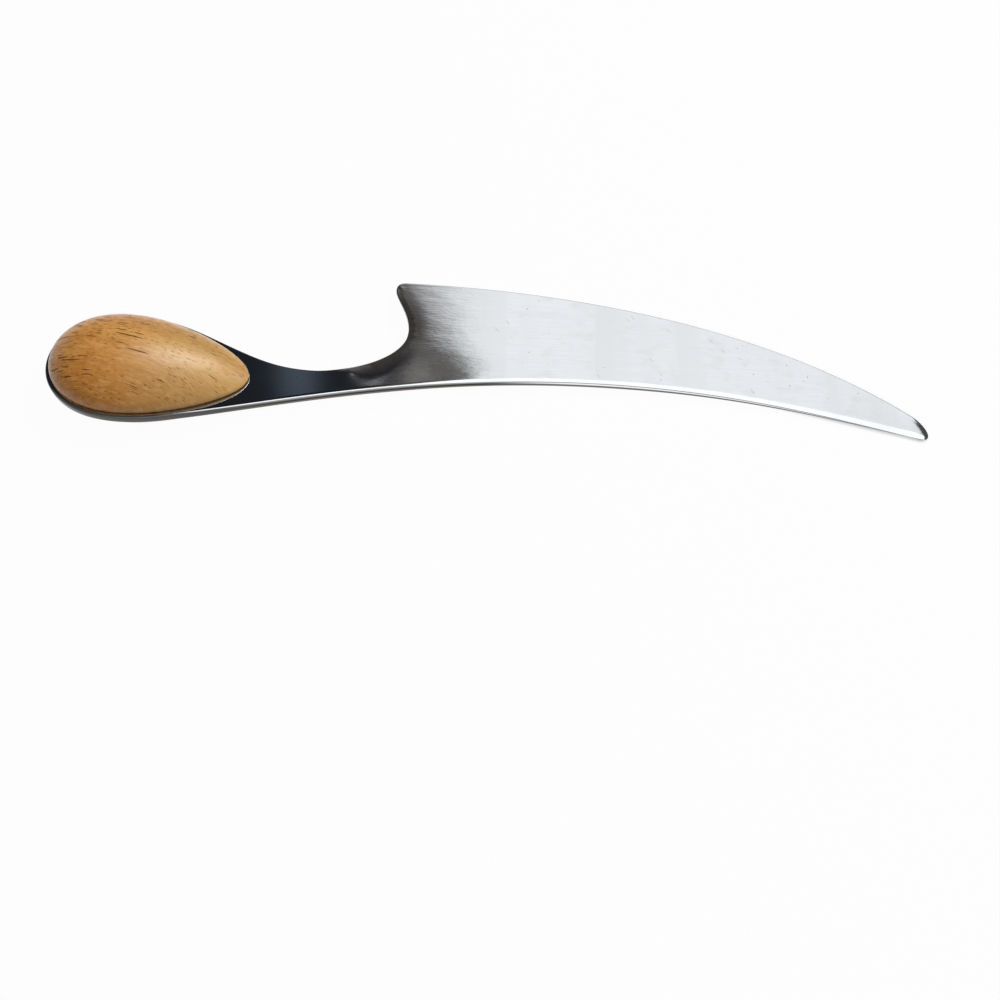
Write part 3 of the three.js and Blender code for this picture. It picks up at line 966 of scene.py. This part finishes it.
# Pieces.
class GroundFace:
    """Upper face of the plate: its outline and pin holes, and its height at any point of it."""

    def __init__(self, settings, solid):
        self.settings = settings
        self.surface = BVHTree.FromBMesh(solid)
        rim, *self.holes = section_loops(solid, 0)
        self.outline = smooth_loop(true_corners(rim, LEAST_STEP, LEAST_TURN), settings.spacing)
        self.normals = inward_normals(self.outline)
        self.tip = max(point.x for point in self.outline)
        self.rim_points = point_tree(self.outline)
        self.rolls = [smooth_step(-normal.x, *TIP_FACING) for normal in self.normals]
        self.set_bevels()
        shares = inset_shares(self.outline, [width + BEYOND for width in self.widths])
        self.normals = [normal * share for normal, share in zip(self.normals, shares)]

    def set_bevels(self):
        """Finds the width of the bevel at each point of the outline, its upper edge and its slope."""
        plain, slope = self.settings.edge_width, self.settings.bevel_slope
        back = [smooth_step(normal.y, *BACK_FACING) for normal in self.normals]
        bevels = [self.bevel_width(point.x) for point in self.outline]
        self.widths = [between(plain, bevel, share) for bevel, share in zip(bevels, back)]
        crests = [self.cast(point) for point in self.inset([width + CREASE for width in self.widths])]
        self.starts = averaged(crests)
        deeper = self.inset([width + CREASE + SLOPE_SPAN for width in self.widths])
        slopes = averaged([(self.cast(b) - a) / SLOPE_SPAN for a, b in zip(self.starts, deeper)])
        self.slopes = [between(own, slope, share) for own, share in zip(slopes, back)]

    def bevel_width(self, x):
        """Width of the bevel along the back: a line on the neck, wider to the tip, narrower at its end."""
        settings = self.settings
        grown = smooth_step(x, settings.bevel_start, settings.bevel_full)
        width = between(settings.bevel_neck, settings.bevel_heel, grown)
        share = max(0, (x - settings.bevel_full) / (self.tip - settings.bevel_full))
        narrowed = 1 - settings.tip_narrow * smooth_step(x, self.tip - settings.tip_taper, self.tip)
        return between(width, settings.bevel_tip, share) * narrowed

    def inset(self, reaches):
        """Points of the outline moved inwards, each by its own reach."""
        return [p + normal * reach for p, normal, reach in zip(self.outline, self.normals, reaches)]

    def cast(self, point):
        """Height of the solid at a point."""
        above = point.to_3d() + Vector((0, 0, PROBE_HEIGHT))
        place, *_ = self.surface.ray_cast(above, Vector((0, 0, -1)))
        if place is None:
            raise RuntimeError("a point of the face lies off the plate")
        return place.z

    def height(self, point):
        """Height of the finished face at a point, with its bevel and the roll at the tip."""
        _, i, distance = self.rim_points.find(point.to_3d())
        if distance < self.widths[i]:
            level = self.starts[i] - self.slopes[i] * (self.widths[i] - distance)
        else:
            level = self.cast(point)
        roll = max(0, 1 - distance / self.settings.tip_reach) ** 2
        return max(level - self.settings.tip_drop * self.rolls[i] * roll, self.settings.tip_half)

    def rows(self):
        """Rings of corners over the rounded edge and across the bevel."""
        settings = self.settings
        count = len(self.outline)
        crests = [self.height(point) for point in self.inset([settings.edge_round] * count)]
        depths = [min(settings.round_depth, settings.round_share * crest) for crest in crests]
        rows = []
        for step in range(ROUND_STEPS + 1):
            angle = math.pi / 2 * step / ROUND_STEPS
            places = self.inset([KEEP_IN + settings.edge_round * (1 - math.cos(angle))] * count)
            drops = [depth * (1 - math.sin(angle)) for depth in depths]
            rows.append([(*p, crest - drop) for p, crest, drop in zip(places, crests, drops)])
        for share, further in FACE_ROWS:
            reaches = [between(settings.edge_round, width, share) + further for width in self.widths]
            rows.append([(*point, self.height(point)) for point in self.inset(reaches)])
        return rows

    def inner_points(self, edge):
        """Points inside the last ring: those of the blade, and the closer ones of the tip."""
        settings = self.settings
        loops = [edge, *self.holes]
        wide = grid_inside(loops, settings.grid, settings.grid * GRID_MARGIN)
        close = grid_inside(loops, settings.tip_grid, settings.tip_grid * GRID_MARGIN)
        border = self.tip - settings.tip_length
        wide = [point for point in wide if point.x < border]
        return wide, [point for point in close if point.x > border + settings.tip_grid]


class KNIFE_OT_blade(bpy.types.Operator):
    """Make the plate with its rounded edges and ground faces"""

    bl_idname = "cheese_knife.blade"
    bl_label = "Make blade"

    def execute(self, context):
        settings = context.scene.cheese_knife_steel
        solid = solid_in_plate_frame("blade")
        ground = GroundFace(settings, solid)
        solid.free()
        shell = Shell()
        rings = [shell.add_ring(row) for row in ground.rows()]
        for outer, inner in zip(rings, rings[1:]):
            shell.faces += band(outer, inner)
        mouths = self.fill_face(shell, ground, rings[-1])
        self.mirror(shell, rings[0], mouths)
        add_piece("blade_plate", shell, "blade", ground_steel(settings))
        return {"FINISHED"}

    def fill_face(self, shell, ground, ring):
        """Fills the face inside its last ring, and returns the mouths of the pin holes."""
        edge = [Vector(shell.corners[i][:2]) for i in ring]
        full = max(shell.corners[i][2] for i in ring)
        mouths = [shell.add_ring([(*point, full) for point in hole]) for hole in ground.holes]
        wide, close = ground.inner_points(edge)
        inner = wide + close
        triangles = fill(edge, ground.holes, inner)
        heights = [corner[2] for corner in shell.corners[ring[0]:]]
        first = len(heights)
        heights += [ground.height(point) for point in inner]
        heights = relaxed(heights, triangles, range(first, first + len(wide)), RELAX_ROUNDS)
        shell.add_ring([(*point, level) for point, level in zip(inner, heights[first:])])
        shell.add_fill(triangles, ring[0])
        return mouths

    def mirror(self, shell, rim, mouths):
        """Adds the lower half of the plate, and the walls of its rim and of its pin holes."""
        half = len(shell.corners)
        shell.corners += [(x, y, -z) for x, y, z in shell.corners]
        shell.faces += [tuple(half + corner for corner in reversed(face)) for face in shell.faces]
        shell.faces += band([half + corner for corner in rim], rim)
        for mouth in mouths:
            shell.add_hole(mouth, [half + corner for corner in mouth])


# Steps over the rounding at the foot of a scale, and how deep in the wood its pin holes are looked for.
BASE_STEPS = 3
HOLE_PROBE = 1 * MM


class KNIFE_OT_scales(bpy.types.Operator):
    """Make the two halves of the wooden egg"""

    bl_idname = "cheese_knife.scales"
    bl_label = "Make scales"

    def execute(self, context):
        settings = context.scene.cheese_knife_wood
        material = lacquered_wood(settings)
        for node, side in (("front_scale", 1), ("rear_scale", -1)):
            self.make_scale(settings, node, side, material)
        return {"FINISHED"}

    def make_scale(self, settings, node, side, material):
        """One half-egg with its blind pin holes, side 1 above the plate and -1 below."""
        solid = solid_in_plate_frame(node)
        surface = BVHTree.FromBMesh(solid)
        base = min(side * vert.co.z for vert in solid.verts)
        _, *holes = section_loops(solid, side * (base + HOLE_PROBE))
        shell = Shell()
        ring = self.add_dome(shell, settings, solid, side, base)
        solid.free()
        ring = self.add_foot(shell, settings, ring, side, base)
        self.add_base(shell, ring, holes, surface, side, base)
        add_piece(f"{node}_wood", shell, node, material)

    def add_dome(self, shell, settings, solid, side, base):
        """Adds the outside of the half-egg, and returns the ring of corners round its foot."""
        pins_apart = middle_of("fore_pin") - middle_of("aft_pin")
        along = (PLATE.inverted().to_3x3() @ pins_apart).xy.normalized()
        across = along.orthogonal()
        top = max(side * vert.co.z for vert in solid.verts) - KEEP_IN
        half_length = max(abs(vert.co.xy.dot(along)) for vert in solid.verts) - KEEP_IN
        half_width = max(abs(vert.co.xy.dot(across)) for vert in solid.verts) - KEEP_IN
        dome = (top - base - settings.edge_round) / half_width

        def corner(length, width, level):
            return (*(along * length + across * width), side * (base + settings.edge_round + level))

        butt, point = shell.add_ring([corner(end, 0, 0) for end in (-half_length, half_length)])
        angles = [math.pi * i / settings.rings for i in range(1, settings.rings)]
        profile = [math.sin(angle) * (1 + settings.taper * math.cos(angle)) for angle in angles]
        turns = [math.pi * j / settings.sides for j in range(settings.sides + 1)]
        ribs = []
        for angle, share in zip(angles, profile):
            length = -half_length * math.cos(angle)
            width = half_width * share / max(profile)
            rib = [corner(length, width * math.cos(t), dome * width * math.sin(t)) for t in turns]
            ribs.append(shell.add_ring(rib))
        for j in range(settings.sides):
            shell.faces.append((butt, ribs[0][j], ribs[0][j + 1]))
            shell.faces.append((point, ribs[-1][j + 1], ribs[-1][j]))
            shell.faces += [(a[j], b[j], b[j + 1], a[j + 1]) for a, b in zip(ribs, ribs[1:])]
        return [point, *(rib[0] for rib in reversed(ribs)), butt, *(rib[-1] for rib in ribs)]

    def add_foot(self, shell, settings, ring, side, base):
        """Rounds the foot of the dome, and returns the ring of corners on the base."""
        outline = [Vector(shell.corners[i][:2]) for i in ring]
        normals = inward_normals(outline)
        for step in range(1, BASE_STEPS + 1):
            angle = math.pi / 2 * step / BASE_STEPS
            reach = settings.edge_round * (1 - math.cos(angle))
            level = side * (base + settings.edge_round * (1 - math.sin(angle)))
            lower = shell.add_ring([(*(p + n * reach), level) for p, n in zip(outline, normals)])
            shell.faces += band(ring, lower)
            ring = lower
        return ring

    def add_base(self, shell, ring, holes, surface, side, base):
        """Closes the base round the pin holes, which end inside the wood."""
        edge = [Vector(shell.corners[i][:2]) for i in ring]
        mouths = [shell.add_ring([(*point, side * base) for point in hole]) for hole in holes]
        shell.add_fill(fill(edge, holes, []), ring[0])
        for hole, mouth in zip(holes, mouths):
            middle = sum(hole, Vector((0, 0))) / len(hole)
            place, *_ = surface.ray_cast(Vector((*middle, 0)), Vector((0, 0, side)))
            end = shell.add_ring([(*point, place.z) for point in hole])
            shell.add_hole(mouth, end)
            shell.faces.append(tuple(end))


class KNIFE_OT_joinery(bpy.types.Operator):
    """Finish the adhesive layers and the dowel pins"""

    bl_idname = "cheese_knife.joinery"
    bl_label = "Finish joinery"

    def execute(self, context):
        settings = context.scene.cheese_knife_joinery
        finishes = (
            (cured_adhesive(settings), ("front_bond", "rear_bond")),
            (turned_brass(settings), ("fore_pin", "aft_pin")),
        )
        for material, nodes in finishes:
            for node in nodes:
                mesh = frame["nodes"][node].data
                mesh.materials.clear()
                mesh.materials.append(material)
        return {"FINISHED"}


# Camera: width of its sensor in millimetres, and what it starts to see.
SENSOR_WIDTH = 36
CLIP_START = 1 * MM

# Rays that find how close the knife is to a spot of the floor.
CONTACT_SAMPLES = 4

# Width and height of a card, in distances from the knife, and the rays that don't show it.
CARD_SPAN = (4, 2)
HIDDEN_FROM = ("camera", "diffuse", "transmission", "volume_scatter", "shadow")

# Graded card, in metres to the right of its middle and up: how its borders lean, and lean more low down,
# and where the dark side is paler and warmer.
CARD_LEAN = 0.12
LOW_LEAN = 0.5
LOW_TONE = (0.16, -0.06)
WARM_TONE = (-0.25, -0.08)

# Middle and half-width of its soft spots, across and up.
SHEEN = ((-0.48, 0.108), (0.29, 0.28))
GLINT = ((-0.241, 0.03), (0.275, 0.055))
PATCH = ((-0.09, 0.07), (0.28, 0.16))

# Border of its bright side, where that softens, and by how much.
BORDER = (0.085, 0.105)
SOFT_BORDER = (-0.06, -0.2)
BORDER_SOFTENING = (-0.155, 0.2)

# Its dim foot, its bright top with the lean and the start of that, and its far end.
DIM_FOOT = (-0.55, -1.0)
TOP_LEAN = 0.62
TOP_TONE = (1.45, 1.6)
TOP_START = (-0.75, -0.5)
FAR_END = (1.8, 1.95)

# Plain cards: name, setting of their colour, quarter turns from behind the knife, which way the tone
# falls, to the right and up, and how much farther away they stand. The tone pales from the first fall to
# the second.
PLAIN_CARDS = (
    ("left_card", "dark_card_colour", 1, (0.0, 1.0), 1.0),
    ("front_card", "front_card_colour", 2, (1.4, 0.3), 1.0),
    ("right_card", "dark_card_colour", 3, (0.0, 1.0), 1.6),
)
PALE_FALL = (-0.9, -2.0)

# Lights: name, place, width, height and power. Gloss shows the cards in the place of the first two, and the
# last is there for the gloss of the wood alone.
LIGHTS = (
    ("overhead_softbox", (0.0, 0.0, 1.2), 1.0, 0.8, 1.5),
    ("side_softbox", (0.98, 0.32, 0.96), 0.7, 0.6, 19.0),
    ("gloss_softbox", (-0.01, 0.69, 0.98), 0.42, 0.42, 5.4),
)
GLOSS_LIGHT = "gloss_softbox"


class KNIFE_OT_stage(bpy.types.Operator):
    """Set up the camera, the lights, the floor and the cards that the steel reflects"""

    bl_idname = "cheese_knife.stage"
    bl_label = "Set up stage"

    def execute(self, context):
        settings = context.scene.cheese_knife_stage
        context.scene.view_settings.view_transform = "Standard"
        self.add_camera(context, settings)
        self.add_floor(context, settings)
        self.add_graded_card(context, settings)
        self.add_plain_cards(context, settings)
        self.add_lights(context)
        self.light_world(context, settings)
        return {"FINISHED"}

    def add_camera(self, context, settings):
        """Camera at the height and angle of the view."""
        camera = bpy.data.cameras.new("camera")
        camera.sensor_width = SENSOR_WIDTH
        camera.lens = settings.lens
        camera.clip_start = CLIP_START
        looker = bpy.data.objects.new("camera", camera)
        context.scene.collection.objects.link(looker)
        tilt = Matrix.Rotation(math.pi / 2 - settings.elevation, 4, "X")
        turn = Matrix.Rotation(-settings.turn, 4, "Z")
        roll = Matrix.Rotation(settings.roll, 4, "Z")
        looker.matrix_world = Matrix.Translation(settings.eye) @ turn @ tilt @ roll
        context.scene.camera = looker

    def add_plane(self, context, name, width, height, material):
        """Flat stage piece in its own XY."""
        mesh = bpy.data.meshes.new(name)
        x, y = width / 2, height / 2
        mesh.from_pydata([(-x, -y, 0), (x, -y, 0), (x, y, 0), (-x, y, 0)], [], [(0, 1, 2, 3)])
        mesh.materials.append(material)
        plane = bpy.data.objects.new(name, mesh)
        context.scene.collection.objects.link(plane)
        return plane

    def add_floor(self, context, settings):
        """Pale floor that shows white and keeps the shadow of what is close to it."""
        material, tree = new_material("pale_floor")
        seen = self.seen_directly(tree)
        lit = tree.node("ShaderNodeBsdfDiffuse", None, {"Color": opaque(settings.floor_colour)})
        white = tree.node("ShaderNodeEmission", None, {"Strength": 1.0})
        samples, reach = {"samples": CONTACT_SAMPLES}, {"Distance": settings.contact}
        clear = tree.node("ShaderNodeAmbientOcclusion", samples, reach, output=1)
        share = seen * settings.floor_white * clear
        surface = tree.node("ShaderNodeMixShader", None, {0: share, 1: lit, 2: white})
        tree.node("ShaderNodeOutputMaterial", None, {"Surface": surface})
        self.add_plane(context, "floor", settings.floor_size, settings.floor_size, material)

    def seen_directly(self, tree):
        """1 for what the camera sees, straight or by way of metal or glass."""
        path = tree.node("ShaderNodeLightPath").socket.node.outputs
        rays = ("Is Camera Ray", "Is Glossy Ray", "Is Transmission Ray")
        camera, gloss, glass = (Value(tree, path[name]) for name in rays)
        return tree.math("MAXIMUM", tree.math("MAXIMUM", camera, gloss), glass)

    def add_graded_card(self, context, settings):
        """Large card behind the knife, dark on the left and bright on the right."""
        material, tree = new_material("graded_card")
        u, v, _ = tree.split(tree.object_place())
        across = u - v * CARD_LEAN - tree.math("MINIMUM", v, 0.0) * LOW_LEAN
        spots = []
        for sideways, upward in (SHEEN, GLINT, PATCH):
            spots.append(tree.bump_of(across, *sideways) * tree.bump_of(v, *upward))
        sheen, glint, patch = spots
        soft = tree.rise(v, *SOFT_BORDER)
        start, full = (border + soft * more for border, more in zip(BORDER, BORDER_SOFTENING))
        opening = tree.rise(across, start, full)
        top = tree.rise(v + u * TOP_LEAN, *TOP_TONE) * tree.rise(u, *TOP_START)
        tone = tree.tinted(
            opaque(settings.card_dark),
            (tree.rise(v, *LOW_TONE), settings.card_low),
            (tree.rise(across, *WARM_TONE), settings.card_warm),
            (sheen, settings.card_sheen),
            (glint, settings.card_glint),
            (patch, settings.card_patch),
            (opening, [level * settings.card_light for level in settings.card_bright]),
            (tree.rise(v, *DIM_FOOT) * opening, settings.card_dim),
            (top, [level * settings.card_top_light for level in settings.card_bright]),
            (tree.rise(u, *FAR_END), settings.dark_card_colour),
        )
        tree.glow(tone)
        self.place_card(context, "graded_card", material, settings.card_distance, settings.card_tilt, 0)

    def add_plain_cards(self, context, settings):
        """Cards on the other three sides, each of one tone that pales to one side."""
        for name, colour, quarters, (sideways, upward), farther in PLAIN_CARDS:
            material, tree = new_material(name)
            u, v, _ = tree.split(tree.object_place())
            pale = tree.rise(u * sideways + v * upward, *PALE_FALL)
            tree.glow(tree.tinted(opaque(getattr(settings, colour)), (pale, settings.card_bright)))
            distance = settings.card_distance * farther
            self.place_card(context, name, material, distance, settings.card_tilt, quarters)

    def place_card(self, context, name, material, distance, tilt, quarters):
        """Card that only gloss shows, leaning over from behind the knife or quarter turns from there."""
        card = self.add_plane(context, name, *(span * distance for span in CARD_SPAN), material)
        away = Vector((0, math.cos(tilt), math.sin(tilt)))
        right = Vector((1, 0, 0))
        lean = Matrix((right, away.cross(right) * -1, away * -1)).transposed().to_4x4()
        stand = Matrix.Translation(away * distance) @ lean
        card.matrix_world = Matrix.Rotation(math.pi / 2 * quarters, 4, "Z") @ stand
        for ray in HIDDEN_FROM:
            setattr(card, f"visible_{ray}", False)

    def add_lights(self, context):
        """Softboxes overhead and from the right, and one that only the wood's gloss shows."""
        for name, place, width, height, power in LIGHTS:
            light = bpy.data.lights.new(name, "AREA")
            light.shape = "RECTANGLE"
            light.size = width
            light.size_y = height
            light.energy = power
            lamp = bpy.data.objects.new(name, light)
            context.scene.collection.objects.link(lamp)
            lamp.location = place
            lamp.rotation_euler = (-Vector(place)).to_track_quat("-Z", "Y").to_euler()
            lamp.visible_camera = False
            lamp.visible_glossy = name == GLOSS_LIGHT
            lamp.visible_diffuse = name != GLOSS_LIGHT
            if name == GLOSS_LIGHT:
                self.light_wood_alone(lamp)

    def light_wood_alone(self, lamp):
        """Lets a lamp light the wood and nothing else."""
        wood = bpy.data.collections.new("lit_by_gloss_softbox")
        for node in ("front_scale", "rear_scale"):
            wood.objects.link(bpy.data.objects[f"{node}_wood"])
        lamp.light_linking.receiver_collection = wood

    def light_world(self, context, settings):
        """White to the camera and to metal, and an even light to the rest."""
        world = bpy.data.worlds.new("studio")
        context.scene.world = world
        tree = Tree(world)
        level = self.seen_directly(tree) * (1 - settings.ambient) + settings.ambient
        light = tree.node("ShaderNodeBackground", None, {"Color": WHITE, "Strength": level})
        tree.node("ShaderNodeOutputWorld", None, {"Surface": light})


class KNIFE_PT_panel(bpy.types.Panel):
    """Pieces and settings of the knife"""

    bl_idname = "KNIFE_PT_panel"
    bl_label = "Cheese knife"
    bl_space_type = "VIEW_3D"
    bl_region_type = "UI"
    bl_category = "Cheese knife"

    def draw(self, context):
        for operator, name, group in STEPS:
            box = self.layout.box()
            box.operator(operator.bl_idname)
            settings = getattr(context.scene, name)
            for key in group.__annotations__:
                box.prop(settings, key)


# Operators in the order of making, each with the name and the group of its settings.
STEPS = (
    (KNIFE_OT_blade, "cheese_knife_steel", SteelSettings),
    (KNIFE_OT_scales, "cheese_knife_wood", WoodSettings),
    (KNIFE_OT_joinery, "cheese_knife_joinery", JoinerySettings),
    (KNIFE_OT_stage, "cheese_knife_stage", StageSettings),
)


def register():
    """Adds the settings, the operators and the panel."""
    for operator, name, group in STEPS:
        bpy.utils.register_class(group)
        bpy.utils.register_class(operator)
        setattr(bpy.types.Scene, name, PointerProperty(type=group))
    bpy.utils.register_class(KNIFE_PT_panel)


def unregister():
    """Takes them away again."""
    bpy.utils.unregister_class(KNIFE_PT_panel)
    for operator, name, group in reversed(STEPS):
        delattr(bpy.types.Scene, name)
        bpy.utils.unregister_class(operator)
        bpy.utils.unregister_class(group)


def main():
    """Makes every piece."""
    register()
    for operator, _, _ in STEPS:
        family, action = operator.bl_idname.split(".")
        getattr(getattr(bpy.ops, family), action)()


if __name__ == "__main__":
    main()
